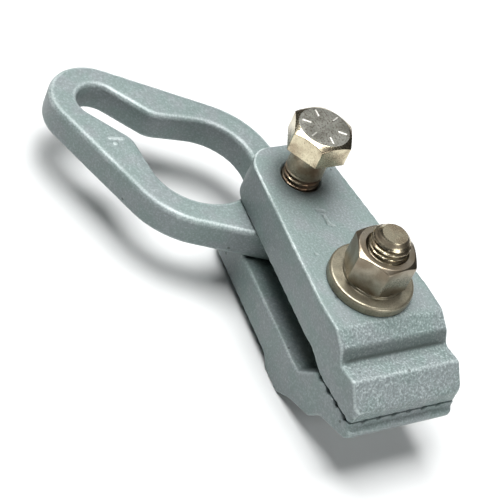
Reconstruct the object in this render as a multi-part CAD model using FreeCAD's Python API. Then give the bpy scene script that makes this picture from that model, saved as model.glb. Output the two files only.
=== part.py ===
"""Pull clamp: two forged jaws, a main bolt with washer and nut, a back bolt and a swivelling pull loop.

Frame: millimetres, +Z up along the bolts, +X towards the teeth. The origin is on the main bolt's axis,
in the plane of the two ears under the lower jaw, which is the lowest plane of the clamp.
"""
import FreeCAD, Part
import math
import os
from FreeCAD import Vector

# ---- Hardware: 1/2 in bolts and nut ----
THREAD_DIAMETER = 12.6        # over the crests
HEX_ACROSS_FLATS = 19.0
MAIN_HEAD_HEIGHT = 7.9
BACK_HEAD_HEIGHT = 8.8        # the jacking bolt's head is the taller one
HEX_CHAMFER_ANGLE = 30.0      # degrees, of the corner chamfer on heads and nut
HEX_FACE_INSET = 0.38         # the chamfer's circle on the end face lies this far inside the flats
BACK_BOLT_TURN_DEG = 0.0      # a flat of the back bolt's head faces +X
POCKET_TURN_DEG = 90.0        # flats of the main bolt's head lie against the two ears
NUT_TURN_DEG = 5.0            # the nut stands a little turned from the back bolt's head
NUT_HEIGHT = 11.9
WASHER_DIAMETER = 28.0
WASHER_RIM = 3.4              # thickness at the rim
WASHER_CROWN = 0.9            # how much thicker the washer is under the nut
WASHER_EDGE = 0.5             # chamfer round the washer's top rim
BOLT_END_CHAMFER = 1.7
TAP_COUNTERSINK = 0.9         # mouth of the tapped hole in the upper jaw

# ---- Clearances ----
TAPPED_CLEARANCE = 0.05       # radial, thread in nut and in tapped jaw
PIVOT_CLEARANCE = 0.10        # radial, loop eye and socket on the back bolt
CLEARANCE_HOLE = 0.90         # radial, main bolt through jaws and washer
FACE_CLEARANCE = 0.30         # loop to each jaw, and bolt head to its pocket's sides
SEAT_GAP = 0.20               # back bolt's end to the socket's bottom
OVER_REACH = 5.0              # cutting and trimming solids stand out this far past the piece
SLIVER = 0.01                 # a turned blank clears the corners that it leaves alone by this

# ---- Jaws in plan ----
BOLT_SPACING = 46.0           # main bolt to back bolt
REAR_OVERHANG = 14.5          # back bolt to the rear end
FRONT_REACH = 36.6            # main bolt to the front of the teeth
FLARE_END = 5.0               # past the main bolt the sides run straight
FLARE_BLEND_RADIUS = 40.0     # where the flare turns into the straight sides
FRONT_HALF_WIDTH = 20.4
SIDE_FLARE = 0.102            # sideways growth per millimetre, from the rear to FLARE_END
REAR_CORNER_RADIUS = 10.5
FRONT_CORNER_RADIUS = 2.4

# ---- Jaws in side view ----
EAR_HEIGHT = 3.0              # ears that keep the main bolt's head from turning
EAR_HALF_LENGTH = 5.0
LOWER_BODY = 12.8             # lower jaw's thickness at the loop
UPPER_BODY = 15.4             # upper jaw's thickness
LOOP_THICKNESS = 11.6
BITE_ABOVE_FLOOR = 8.5        # from the lower jaw's floor to the plane where the teeth meet
TOOTH_GAP = 0.6               # between the facing teeth when the clamp is closed
PAD_RAMP_START = 8.7          # where both tooth pads leave the flat, ahead of the main bolt
LOWER_RAMP = 7.4
UPPER_RAMP = 9.4
SOCKET_DEPTH = 3.2            # socket in the lower jaw for the back bolt's end
PAD_BEND_RADIUS = 2.0         # where a pad's ramp leaves the flat
PAD_EDGE_RADIUS = 1.2         # where a pad's ramp reaches the teeth
FORGED_BEND_RADIUS = 2.5      # bends in the forged outlines
FORGED_EDGE_RADIUS = 1.5      # edges of the forged outlines

# ---- Lower jaw's underside and nose ----
BELLY_START = 6.0             # ahead of the ears, where the underside begins to rise
BELLY_START_RISE = 1.2
BELLY_END = 15.5              # back from the front of the teeth, where it turns up to the nose
BELLY_END_RISE = 5.2
HEEL_BACK = 11.6              # the nose's heel, back from the front of the teeth
HEEL_DROP = 4.4               # and below the nose's bottom
NOSE_REACH = 2.2              # the nose stands ahead of the teeth
NOSE_TOP_DROP = 2.6           # its top edge below the bite plane
NOSE_TOP_FALL = 0.2           # over its top ledge
NOSE_DEPTH = 6.4              # its bottom below the bite plane
NOSE_UNDERCUT = 0.6
NOSE_EDGE_RADIUS = 0.8
LEDGE_RADIUS = 0.4

# ---- Upper jaw's lip and valley, back from the front of the teeth and down from the top ----
BROW_REACH = 0.6              # the front leans out by this
BROW_DROP = 13.6
CREST_BACK = 6.3              # crest of the lip
CREST_DROP = 6.4
VALLEY_FRONT_BACK = 13.6      # bottom of the valley
VALLEY_FRONT_DROP = 7.6
VALLEY_REAR_BACK = 15.9
VALLEY_REAR_DROP = 3.5
TOP_END_BACK = 21.9           # front edge of the flat top

# ---- Teeth ----
TOOTH_ROWS = 4                # grooves across the jaw
TOOTH_PITCH_X = 5.1
TOOTH_COLUMNS = 6             # grooves along the jaw
TOOTH_PITCH_Y = 5.65
CROSS_GROOVE_WIDTH = 2.7      # grooves across the lower jaw
CROSS_GROOVE_DEPTH = 1.5
LONG_GROOVE_WIDTH = 2.2       # grooves along the lower jaw
LONG_GROOVE_DEPTH = 1.3
UPPER_GROOVE_WIDTH = 1.4      # both ways on the upper jaw
UPPER_GROOVE_DEPTH = 0.5
GROOVE_OVERCUT = 1.0          # the groove cutter stands this far out of the teeth
FIRST_GROOVE = 3.0            # last cross groove back from the front of the teeth

# ---- Pull loop, along its own axis from the back bolt ----
EYE_RADIUS = 14.8
RING_CENTRE = 31.8
RING_OUTER_RADIUS = 29.0
RING_HOLE_RADIUS = 18.6
TIP_CENTRE = 73.0
TIP_RADIUS = 15.6
SLOT_END_CENTRE = 71.6
SLOT_HALF_WIDTH = 7.0
NECK = 54.2                   # where the slot opens into the ring
NECK_FILLET = 8.0
LOOP_FILLET = 1.8
LOOP_SWING_DEG = 37.5         # the loop's rest pose, off straight back, towards -Y

# ---- Bolts ----
BACK_BOLT_STANDOFF = 13.5     # underside of the head above the upper jaw
MAIN_BOLT_ABOVE_JAW = 22.6

# ---- Levels worked out from the above ----
LOWER_BOTTOM = EAR_HEIGHT
FLOOR = LOWER_BOTTOM + LOWER_BODY
CEILING = FLOOR + LOOP_THICKNESS + 2 * FACE_CLEARANCE
TOP = CEILING + UPPER_BODY
BITE = FLOOR + BITE_ABOVE_FLOOR
LOWER_TIPS = BITE - TOOTH_GAP / 2
UPPER_TIPS = BITE + TOOTH_GAP / 2
THREAD_RADIUS = THREAD_DIAMETER / 2
BACK_BOLT_X = -BOLT_SPACING
REAR_X = BACK_BOLT_X - REAR_OVERHANG
POCKET_TOP = MAIN_HEAD_HEIGHT   # the main bolt's head ends flush with the ears
WASHER_TOP = TOP + WASHER_RIM + WASHER_CROWN


def rounded_outline(points, place):
    """Closed wire through points (a, b, radius), its corners rounded to their radii."""
    count = len(points)
    starts = []
    ends = []
    middles = []
    for index in range(count):
        before = Vector(*points[index - 1][:2], 0)
        corner = Vector(*points[index][:2], 0)
        after = Vector(*points[(index + 1) % count][:2], 0)
        radius = points[index][2]
        to_before = (before - corner).normalize()
        to_after = (after - corner).normalize()
        half = to_before.getAngle(to_after) / 2
        setback = radius / math.tan(half)
        starts.append(corner + to_before * setback)
        ends.append(corner + to_after * setback)
        bisector = (to_before + to_after).normalize()
        middles.append(corner + bisector * (radius / math.sin(half) - radius))
    edges = []
    for index in range(count):
        if points[index][2] > 0:
            arc = Part.Arc(place(starts[index]), place(middles[index]), place(ends[index]))
            edges.append(arc.toShape())
        following = (index + 1) % count
        edges.append(Part.LineSegment(place(ends[index]), place(starts[following])).toShape())
    return Part.Wire(edges)


def side_prism(points, half_width):
    """Solid with an outline given in side view (x, z), running across the jaw."""
    wire = rounded_outline(points, lambda p: Vector(p.x, -half_width, p.y))
    return Part.Face(wire).extrude(Vector(0, 2 * half_width, 0))


def jaw_plan(front_x, bottom, height):
    """Solid with the jaws' plan outline: narrow rounded rear, flaring sides and a straight front."""
    rear_half_width = FRONT_HALF_WIDTH - SIDE_FLARE * (FLARE_END - REAR_X)
    right = [
        (REAR_X, rear_half_width, REAR_CORNER_RADIUS),
        (FLARE_END, FRONT_HALF_WIDTH, FLARE_BLEND_RADIUS),
        (front_x, FRONT_HALF_WIDTH, FRONT_CORNER_RADIUS),
    ]
    left = [(x, -y, radius) for x, y, radius in reversed(right)]
    wire = rounded_outline(right + left, lambda p: Vector(p.x, p.y, bottom))
    return Part.Face(wire).extrude(Vector(0, 0, height))


def cylinder(radius, bottom, top, x=0.0):
    """Upright cylinder between two levels, on the centre line of the clamp."""
    return Part.makeCylinder(radius, top - bottom, Vector(x, 0, bottom))


def hexagon(across_flats, bottom, top, x, turn_deg):
    """Upright hexagonal prism with a flat that faces +X, turned by turn_deg."""
    corner_radius = across_flats / math.sqrt(3)
    corners = []
    for step in range(7):
        angle = math.radians(30 + 60 * step + turn_deg)
        corners.append(Vector(x + corner_radius * math.cos(angle), corner_radius * math.sin(angle), bottom))
    return Part.Face(Part.makePolygon(corners)).extrude(Vector(0, 0, top - bottom))


def corner_cone(bottom, top, x, chamfer_low, chamfer_high):
    """Turned blank that, cut with a hexagon, chamfers its corners at either end."""
    face_radius = HEX_ACROSS_FLATS / 2 - HEX_FACE_INSET
    corner_radius = HEX_ACROSS_FLATS / math.sqrt(3) + SLIVER
    rise = (corner_radius - face_radius) * math.tan(math.radians(HEX_CHAMFER_ANGLE))
    low = rise if chamfer_low else 0.0
    high = rise if chamfer_high else 0.0
    blank = cylinder(corner_radius, bottom + low, top - high, x)
    if chamfer_low:
        blank = blank.fuse(Part.makeCone(face_radius, corner_radius, low, Vector(x, 0, bottom)))
    if chamfer_high:
        blank = blank.fuse(Part.makeCone(corner_radius, face_radius, high, Vector(x, 0, top - high)))
    return blank


def chamfered_hexagon(bottom, top, x, turn_deg, chamfer_low, chamfer_high):
    """Hexagonal head or nut blank with chamfered corners."""
    prism = hexagon(HEX_ACROSS_FLATS, bottom, top, x, turn_deg)
    blank = corner_cone(bottom, top, x, chamfer_low, chamfer_high)
    return prism.common(blank)


def chamfered_rod(bottom, top, x, chamfer_low):
    """Round threaded rod with one chamfered end, low or high."""
    tip_radius = THREAD_RADIUS - BOLT_END_CHAMFER
    if chamfer_low:
        rod = cylinder(THREAD_RADIUS, bottom + BOLT_END_CHAMFER, top, x)
        tip = Part.makeCone(tip_radius, THREAD_RADIUS, BOLT_END_CHAMFER, Vector(x, 0, bottom))
    else:
        rod = cylinder(THREAD_RADIUS, bottom, top - BOLT_END_CHAMFER, x)
        tip = Part.makeCone(THREAD_RADIUS, tip_radius, BOLT_END_CHAMFER, Vector(x, 0, top - BOLT_END_CHAMFER))
    return rod.fuse(tip)


def groove_section(width, depth, tips, direction):
    """Corners (offset, level) of a V groove's cutter; direction is +1 for teeth that point up."""
    flare = width / 2 * (depth + GROOVE_OVERCUT) / depth
    low = tips - direction * depth
    high = tips + direction * GROOVE_OVERCUT
    return [(0.0, low), (flare, high), (-flare, high), (0.0, low)]


def tooth_grooves(tips, direction, cross_size, long_size):
    """V grooves both ways across a tooth pad; each size is (width, depth)."""
    long_reach = FRONT_HALF_WIDTH + OVER_REACH
    back = PAD_RAMP_START
    front = FRONT_REACH + OVER_REACH
    cross = groove_section(*cross_size, tips, direction)
    lengthwise = groove_section(*long_size, tips, direction)
    cutters = []
    for row in range(TOOTH_ROWS):
        x = FRONT_REACH - FIRST_GROOVE - row * TOOTH_PITCH_X
        corners = [Vector(x + offset, -long_reach, level) for offset, level in cross]
        cutters.append(Part.Face(Part.makePolygon(corners)).extrude(Vector(0, 2 * long_reach, 0)))
    for column in range(TOOTH_COLUMNS):
        y = (column - (TOOTH_COLUMNS - 1) / 2) * TOOTH_PITCH_Y
        corners = [Vector(back, y + offset, level) for offset, level in lengthwise]
        cutters.append(Part.Face(Part.makePolygon(corners)).extrude(Vector(front - back, 0, 0)))
    return cutters


def make_lower_jaw():
    """Lower jaw: floor for the loop, tooth pad, ears and pocket for the main bolt's head, back socket."""
    nose_front = FRONT_REACH + NOSE_REACH
    nose_bottom = BITE - NOSE_DEPTH
    nose_top = BITE - NOSE_TOP_DROP
    points = [
        (REAR_X, LOWER_BOTTOM, FORGED_EDGE_RADIUS),
        (-EAR_HALF_LENGTH - EAR_HEIGHT, LOWER_BOTTOM, FORGED_BEND_RADIUS),
        (-EAR_HALF_LENGTH, 0.0, FORGED_EDGE_RADIUS),
        (EAR_HALF_LENGTH, 0.0, FORGED_EDGE_RADIUS),
        (EAR_HALF_LENGTH + BELLY_START, EAR_HEIGHT + BELLY_START_RISE, FORGED_BEND_RADIUS),
        (FRONT_REACH - BELLY_END, LOWER_BOTTOM + BELLY_END_RISE, FORGED_BEND_RADIUS),
        (FRONT_REACH - HEEL_BACK, nose_bottom - HEEL_DROP, FORGED_BEND_RADIUS),
        (nose_front - NOSE_UNDERCUT, nose_bottom + NOSE_UNDERCUT, FORGED_EDGE_RADIUS),
        (nose_front, nose_top, NOSE_EDGE_RADIUS),
        (FRONT_REACH, nose_top + NOSE_TOP_FALL, LEDGE_RADIUS),
        (FRONT_REACH, LOWER_TIPS, 0.0),
        (PAD_RAMP_START + LOWER_RAMP, LOWER_TIPS, PAD_EDGE_RADIUS),
        (PAD_RAMP_START, FLOOR, PAD_BEND_RADIUS),
        (REAR_X, FLOOR, PAD_EDGE_RADIUS),
    ]
    jaw = side_prism(points, FRONT_HALF_WIDTH + OVER_REACH)
    jaw = jaw.common(jaw_plan(nose_front, 0.0, TOP))
    cuts = [
        hexagon(HEX_ACROSS_FLATS + 2 * FACE_CLEARANCE, -OVER_REACH, POCKET_TOP, 0.0, POCKET_TURN_DEG),
        cylinder(THREAD_RADIUS + CLEARANCE_HOLE, 0.0, TOP),
        cylinder(THREAD_RADIUS + PIVOT_CLEARANCE, FLOOR - SOCKET_DEPTH, TOP, BACK_BOLT_X),
    ]
    cross_size = (CROSS_GROOVE_WIDTH, CROSS_GROOVE_DEPTH)
    long_size = (LONG_GROOVE_WIDTH, LONG_GROOVE_DEPTH)
    return jaw.cut(cuts + tooth_grooves(LOWER_TIPS, 1, cross_size, long_size))


def make_upper_jaw():
    """Upper jaw: flat back tapped for the back bolt, valley and lip ahead of the nut, tooth pad below."""
    brow_front = FRONT_REACH + BROW_REACH
    above = TOP + OVER_REACH
    tapped = THREAD_RADIUS + TAPPED_CLEARANCE
    mouth = TOP - TAP_COUNTERSINK
    points = [
        (REAR_X, CEILING, PAD_EDGE_RADIUS),
        (PAD_RAMP_START, CEILING, PAD_BEND_RADIUS),
        (PAD_RAMP_START + UPPER_RAMP, UPPER_TIPS, PAD_EDGE_RADIUS),
        (FRONT_REACH, UPPER_TIPS, 0.0),
        (brow_front, TOP - BROW_DROP, FORGED_EDGE_RADIUS),
        (FRONT_REACH - CREST_BACK, TOP - CREST_DROP, FORGED_EDGE_RADIUS),
        (FRONT_REACH - VALLEY_FRONT_BACK, TOP - VALLEY_FRONT_DROP, FORGED_EDGE_RADIUS),
        (FRONT_REACH - VALLEY_REAR_BACK, TOP - VALLEY_REAR_DROP, FORGED_EDGE_RADIUS),
        (FRONT_REACH - TOP_END_BACK, TOP, FORGED_EDGE_RADIUS),
        (REAR_X, TOP, FORGED_EDGE_RADIUS),
    ]
    jaw = side_prism(points, FRONT_HALF_WIDTH + OVER_REACH)
    jaw = jaw.common(jaw_plan(brow_front, 0.0, above))
    cuts = [
        cylinder(THREAD_RADIUS + CLEARANCE_HOLE, 0.0, above),
        cylinder(tapped, 0.0, above, BACK_BOLT_X),
        Part.makeCone(tapped, tapped + TAP_COUNTERSINK, TAP_COUNTERSINK, Vector(BACK_BOLT_X, 0, mouth)),
    ]
    groove_size = (UPPER_GROOVE_WIDTH, UPPER_GROOVE_DEPTH)
    return jaw.cut(cuts + tooth_grooves(UPPER_TIPS, -1, groove_size, groove_size))


def make_back_bolt():
    """Jacking bolt through the tapped rear of the upper jaw and the loop's eye, into the lower socket."""
    end = FLOOR - SOCKET_DEPTH + SEAT_GAP
    seat = TOP + BACK_BOLT_STANDOFF
    head = chamfered_hexagon(seat, seat + BACK_HEAD_HEIGHT, BACK_BOLT_X, BACK_BOLT_TURN_DEG, False, True)
    return head.fuse(chamfered_rod(end, seat, BACK_BOLT_X, True)).removeSplitter()


def make_main_bolt():
    """Main bolt: its head sits in the lower jaw's pocket and its thread stands out of the nut."""
    head = chamfered_hexagon(0.0, POCKET_TOP, 0.0, POCKET_TURN_DEG, True, False)
    rod = chamfered_rod(POCKET_TOP, TOP + MAIN_BOLT_ABOVE_JAW, 0.0, False)
    return head.fuse(rod).removeSplitter()


def make_main_washer():
    """Hardened washer with a crowned top, under the nut."""
    rim_radius = WASHER_DIAMETER / 2
    crown_radius = HEX_ACROSS_FLATS / 2
    hole = THREAD_RADIUS + CLEARANCE_HOLE
    section = [
        Vector(hole, 0, TOP),
        Vector(rim_radius, 0, TOP),
        Vector(rim_radius, 0, TOP + WASHER_RIM - WASHER_EDGE),
        Vector(rim_radius - WASHER_EDGE, 0, TOP + WASHER_RIM),
        Vector(crown_radius, 0, WASHER_TOP),
        Vector(hole, 0, WASHER_TOP),
        Vector(hole, 0, TOP),
    ]
    return Part.Face(Part.makePolygon(section)).revolve(Vector(0, 0, 0), Vector(0, 0, 1), 360)


def make_main_nut():
    """Hexagonal nut on the main bolt, standing on the washer."""
    top = WASHER_TOP + NUT_HEIGHT
    nut = chamfered_hexagon(WASHER_TOP, top, 0.0, NUT_TURN_DEG, True, True)
    return nut.cut(cylinder(THREAD_RADIUS + TAPPED_CLEARANCE, 0.0, top + OVER_REACH))


def tangent_points(near, near_radius, far, far_radius):
    """Where a line touches two circles on the loop's axis, on the loop's left-hand side."""
    cosine = (near_radius - far_radius) / (far - near)
    sine = math.sqrt(1 - cosine ** 2)
    touch_near = Vector(near + near_radius * cosine, near_radius * sine, 0)
    touch_far = Vector(far + far_radius * cosine, far_radius * sine, 0)
    return touch_near, touch_far


def mirrored(point):
    """The same point on the other side of the loop's axis."""
    return Vector(point.x, -point.y, point.z)


def loop_outer_wire():
    """Outside of the loop: eye, ring and tip circles joined by tangent lines."""
    eye, ring_back = tangent_points(0.0, EYE_RADIUS, RING_CENTRE, RING_OUTER_RADIUS)
    ring_front, tip = tangent_points(RING_CENTRE, RING_OUTER_RADIUS, TIP_CENTRE, TIP_RADIUS)
    ring_top = Vector(RING_CENTRE, RING_OUTER_RADIUS, 0)
    edges = [
        Part.Arc(mirrored(eye), Vector(-EYE_RADIUS, 0, 0), eye),
        Part.LineSegment(eye, ring_back),
        Part.Arc(ring_back, ring_top, ring_front),
        Part.LineSegment(ring_front, tip),
        Part.Arc(tip, Vector(TIP_CENTRE + TIP_RADIUS, 0, 0), mirrored(tip)),
        Part.LineSegment(mirrored(tip), mirrored(ring_front)),
        Part.Arc(mirrored(ring_front), mirrored(ring_top), mirrored(ring_back)),
        Part.LineSegment(mirrored(ring_back), mirrored(eye)),
    ]
    return Part.Wire([edge.toShape() for edge in edges])


def loop_hole_wire():
    """Keyhole opening of the loop: a slot at the tip that flares tangentially into the ring."""
    neck = Vector(NECK, SLOT_HALF_WIDTH, 0)
    centre = Vector(RING_CENTRE, 0, 0)
    to_centre = centre - neck
    lean = math.atan2(to_centre.y, to_centre.x)
    spread = math.asin(RING_HOLE_RADIUS / to_centre.Length)
    reach = math.sqrt(to_centre.Length ** 2 - RING_HOLE_RADIUS ** 2)
    heading = lean - spread
    flare = Vector(math.cos(heading), math.sin(heading), 0)
    touch = neck + flare * reach
    slot = Vector(1, 0, 0)
    half = slot.getAngle(flare) / 2
    setback = NECK_FILLET / math.tan(half)
    bisector = (slot + flare).normalize()
    slot_side = neck + slot * setback
    flare_side = neck + flare * setback
    middle = neck + bisector * (NECK_FILLET / math.sin(half) - NECK_FILLET)
    slot_end = Vector(SLOT_END_CENTRE, SLOT_HALF_WIDTH, 0)
    edges = [
        Part.Arc(slot_end, Vector(SLOT_END_CENTRE + SLOT_HALF_WIDTH, 0, 0), mirrored(slot_end)),
        Part.LineSegment(mirrored(slot_end), mirrored(slot_side)),
        Part.Arc(mirrored(slot_side), mirrored(middle), mirrored(flare_side)),
        Part.LineSegment(mirrored(flare_side), mirrored(touch)),
        Part.Arc(mirrored(touch), Vector(RING_CENTRE - RING_HOLE_RADIUS, 0, 0), touch),
        Part.LineSegment(touch, flare_side),
        Part.Arc(flare_side, middle, slot_side),
        Part.LineSegment(slot_side, slot_end),
    ]
    return Part.Wire([edge.toShape() for edge in edges])


def make_pull_loop():
    """Flat forged pull loop that swivels on the back bolt between the jaws."""
    outer = Part.Face(loop_outer_wire()).extrude(Vector(0, 0, LOOP_THICKNESS))
    hole = Part.Face(loop_hole_wire()).extrude(Vector(0, 0, LOOP_THICKNESS))
    plate = outer.cut(hole)
    rims = [edge for edge in plate.Edges if edge.BoundBox.ZLength < SLIVER]
    plate = plate.makeFillet(LOOP_FILLET, rims)
    plate = plate.cut(Part.makeCylinder(THREAD_RADIUS + PIVOT_CLEARANCE, LOOP_THICKNESS))
    plate.rotate(Vector(0, 0, 0), Vector(0, 0, 1), 180 + LOOP_SWING_DEG)
    plate.translate(Vector(BACK_BOLT_X, 0, FLOOR + FACE_CLEARANCE))
    return plate


def main():
    """Build each piece and write one STEP file per node."""
    nodes = {
        "lower_jaw": make_lower_jaw,
        "upper_jaw": make_upper_jaw,
        "pull_loop": make_pull_loop,
        "back_bolt": make_back_bolt,
        "main_bolt": make_main_bolt,
        "main_washer": make_main_washer,
        "main_nut": make_main_nut,
    }
    os.makedirs("parts", exist_ok=True)
    for name, build in nodes.items():
        shape = build()
        shape.exportStep(os.path.join("parts", name + ".step"))
        print(name, len(shape.Solids), shape.isValid(), round(shape.Volume), shape.BoundBox)


main()
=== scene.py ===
"""Looks of the pull clamp: forged jaws and loop, and its plated bolts, washer and nut.

Everything is in metres, in the frame of the CAD model: +Z up along the bolts, +X towards the teeth.
"""

import logging
import math
from dataclasses import dataclass, field
from enum import Enum
from typing import Any, Optional, Union

import bmesh
import bpy
import numpy as np
from mathutils import Matrix, Vector


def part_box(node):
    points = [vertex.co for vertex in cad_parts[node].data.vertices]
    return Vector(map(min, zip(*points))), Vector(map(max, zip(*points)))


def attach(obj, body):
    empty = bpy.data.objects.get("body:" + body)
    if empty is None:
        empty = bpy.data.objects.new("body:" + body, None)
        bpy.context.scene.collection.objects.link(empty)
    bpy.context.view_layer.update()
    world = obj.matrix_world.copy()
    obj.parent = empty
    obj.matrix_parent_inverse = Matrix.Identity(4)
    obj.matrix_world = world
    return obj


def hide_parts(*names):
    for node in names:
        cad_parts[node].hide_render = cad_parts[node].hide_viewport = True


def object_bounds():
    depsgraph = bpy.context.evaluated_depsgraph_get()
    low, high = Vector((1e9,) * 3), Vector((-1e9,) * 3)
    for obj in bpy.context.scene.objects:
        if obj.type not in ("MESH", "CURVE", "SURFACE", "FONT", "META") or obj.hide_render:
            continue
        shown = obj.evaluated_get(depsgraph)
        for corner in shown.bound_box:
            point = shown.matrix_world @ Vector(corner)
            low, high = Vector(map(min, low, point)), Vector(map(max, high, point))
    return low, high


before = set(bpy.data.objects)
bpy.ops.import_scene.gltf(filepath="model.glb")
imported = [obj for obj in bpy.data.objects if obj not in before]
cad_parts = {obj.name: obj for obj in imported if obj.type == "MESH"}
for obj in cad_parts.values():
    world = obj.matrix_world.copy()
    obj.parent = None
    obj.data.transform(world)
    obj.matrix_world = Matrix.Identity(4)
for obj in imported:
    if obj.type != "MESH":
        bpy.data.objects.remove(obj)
CAD_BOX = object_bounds()

log = logging.getLogger("pull_clamp")

MM = 0.001
PITCH = 25.4 / 13 * MM            # the bolts' thread, 13 to the inch
COLUMNS = 144                     # points round every turned or hexagonal surface
ROWS_PER_PITCH = 11
SMOOTH_ANGLE = math.radians(38)   # sharper edges than this stay crisp in the shading
WELD = 2e-6                       # points nearer than this are one point


# ---------------------------------------------------------------------------------------------
# Node graphs
# ---------------------------------------------------------------------------------------------

Input = Union[float, int, str, bool, tuple, "Value", bpy.types.NodeSocket, bpy.types.Material]


class Value:
    """A number that varies over a surface, which Python's operators turn into Math nodes."""

    def __init__(self, graph: "Graph", socket: bpy.types.NodeSocket) -> None:
        """Wrap one output socket of a graph."""
        self.graph = graph
        self.socket = socket

    def _math(self, operation: str, *operands: Input) -> "Value":
        """The output of one Math node."""
        return self.graph.value("ShaderNodeMath", {"operation": operation}, dict(enumerate(operands)))

    def __add__(self, other: Input) -> "Value":
        """self + other."""
        return self._math("ADD", self, other)

    __radd__ = __add__

    def __sub__(self, other: Input) -> "Value":
        """self - other."""
        return self._math("SUBTRACT", self, other)

    def __rsub__(self, other: Input) -> "Value":
        """other - self."""
        return self._math("SUBTRACT", other, self)

    def __mul__(self, other: Input) -> "Value":
        """self * other."""
        return self._math("MULTIPLY", self, other)

    __rmul__ = __mul__

    def __truediv__(self, other: Input) -> "Value":
        """self / other."""
        return self._math("DIVIDE", self, other)

    def __abs__(self) -> "Value":
        """The size of self without its sign."""
        return self._math("ABSOLUTE", self)

    def below(self, other: Input) -> "Value":
        """The smaller of self and other."""
        return self._math("MINIMUM", self, other)

    def fraction(self) -> "Value":
        """What is left of self above the next whole number down."""
        return self._math("FRACT", self)

    def root(self) -> "Value":
        """Square root of self."""
        return self._math("SQRT", self)

    def sine(self) -> "Value":
        """Sine of self, in radians."""
        return self._math("SINE", self)

    def cosine(self) -> "Value":
        """Cosine of self, in radians."""
        return self._math("COSINE", self)

    def ramp(self, start: Input, end: Input, low: float = 0.0, high: float = 1.0) -> "Value":
        """A smooth step from low to high as self goes from start to end.

        Args:
            start: value of self where the step begins.
            end: value of self where it ends.
            low: result before the step.
            high: result after it.

        Returns:
            The stepped value, held within low and high.
        """
        inputs = {"Value": self, "From Min": start, "From Max": end, "To Min": low, "To Max": high}
        return self.graph.value("ShaderNodeMapRange", {"interpolation_type": "SMOOTHSTEP"}, inputs)


class Graph:
    """A shader or geometry node tree, and the two calls that add nodes to it."""

    def __init__(self, tree: bpy.types.NodeTree) -> None:
        """Start from an empty tree."""
        self.tree = tree
        tree.nodes.clear()

    def node(self, kind: str, settings: Optional[dict[str, Any]] = None,
             inputs: Optional[dict[Union[str, int], Input]] = None) -> bpy.types.Node:
        """Add a node.

        Args:
            kind: the node's type.
            settings: its properties, set before its inputs.
            inputs: values or links, by the socket's identifier, name or number.

        Returns:
            The new node.
        """
        node = self.tree.nodes.new(kind)
        for name, setting in (settings or {}).items():
            setattr(node, name, setting)
        for key, given in (inputs or {}).items():
            socket = self._find(node.inputs, key)
            if isinstance(given, Value):
                self.tree.links.new(given.socket, socket)
            elif isinstance(given, bpy.types.NodeSocket):
                self.tree.links.new(given, socket)
            else:
                socket.default_value = given
        return node

    def value(self, kind: str, settings: Optional[dict[str, Any]] = None,
              inputs: Optional[dict[Union[str, int], Input]] = None, output: Union[str, int] = 0) -> Value:
        """Add a node and return one of its outputs as a Value."""
        return Value(self, self._find(self.node(kind, settings, inputs).outputs, output))

    def split(self, vector: Input) -> list[Value]:
        """The three parts of a vector."""
        node = self.node("ShaderNodeSeparateXYZ", None, {"Vector": vector})
        return [Value(self, part) for part in node.outputs]

    def vector(self, **parts: Input) -> Value:
        """A vector made of the parts X, Y and Z, of which those left out are 0."""
        return self.value("ShaderNodeCombineXYZ", None, parts)

    def noise(self, place: Input, scale: float, detail: float) -> Value:
        """Soft noise about 0.5, with that many cells to the metre."""
        return self.value("ShaderNodeTexNoise", None, {"Vector": place, "Scale": scale, "Detail": detail})

    @staticmethod
    def _find(sockets: Any, key: Union[str, int]) -> bpy.types.NodeSocket:
        """The socket with that number, identifier or name; of several with a name, one in use.

        Args:
            sockets: a node's inputs or outputs.
            key: what to look for.

        Returns:
            The first socket that fits.
        """
        if isinstance(key, int):
            return sockets[key]
        for socket in sockets:
            if socket.identifier == key:
                return socket
        named = [socket for socket in sockets if socket.name == key]
        return next((socket for socket in named if socket.enabled), named[0])


class MaterialGraph(Graph):
    """The node tree of a new material, and what every finish does in it."""

    def __init__(self, name: str) -> None:
        """Make the material and start its tree with the Object coordinates.

        Args:
            name: name of the material.
        """
        self.material = bpy.data.materials.new(name)
        self.material.use_nodes = True
        super().__init__(self.material.node_tree)
        self.place = self.value("ShaderNodeTexCoord", None, None, "Object")

    def attribute(self, name: str) -> Value:
        """A number that the mesh holds at each point."""
        return self.value("ShaderNodeAttribute", {"attribute_name": name}, None, "Fac")

    def mix(self, share: Input, first: Input, second: Input) -> Value:
        """Two colours mixed by a share of the second."""
        inputs = {"Factor_Float": share, "A_Color": first, "B_Color": second}
        return self.value("ShaderNodeMix", {"data_type": "RGBA"}, inputs, "Result_Color")

    def bump(self, strength: float, depth: float, height: Value) -> Value:
        """A normal that follows a height, which is scaled to a depth in metres."""
        inputs = {"Strength": strength, "Distance": depth, "Height": height}
        return self.value("ShaderNodeBump", None, inputs)

    def finish(self, colour: Input, roughness: Input, metallic: float = 0.0,
               normal: Optional[Value] = None) -> bpy.types.Material:
        """End the tree with its shader.

        Args:
            colour: base colour.
            roughness: 0 for a mirror, 1 for chalk.
            metallic: 0 for paint, 1 for bare metal.
            normal: a bumped normal, where the finish has one.

        Returns:
            The finished material.
        """
        inputs = {"Base Color": colour, "Roughness": roughness, "Metallic": metallic}
        if normal is not None:
            inputs["Normal"] = normal
        shader = self.value("ShaderNodeBsdfPrincipled", None, inputs)
        self.node("ShaderNodeOutputMaterial", None, {"Surface": shader})
        return self.material


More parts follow.
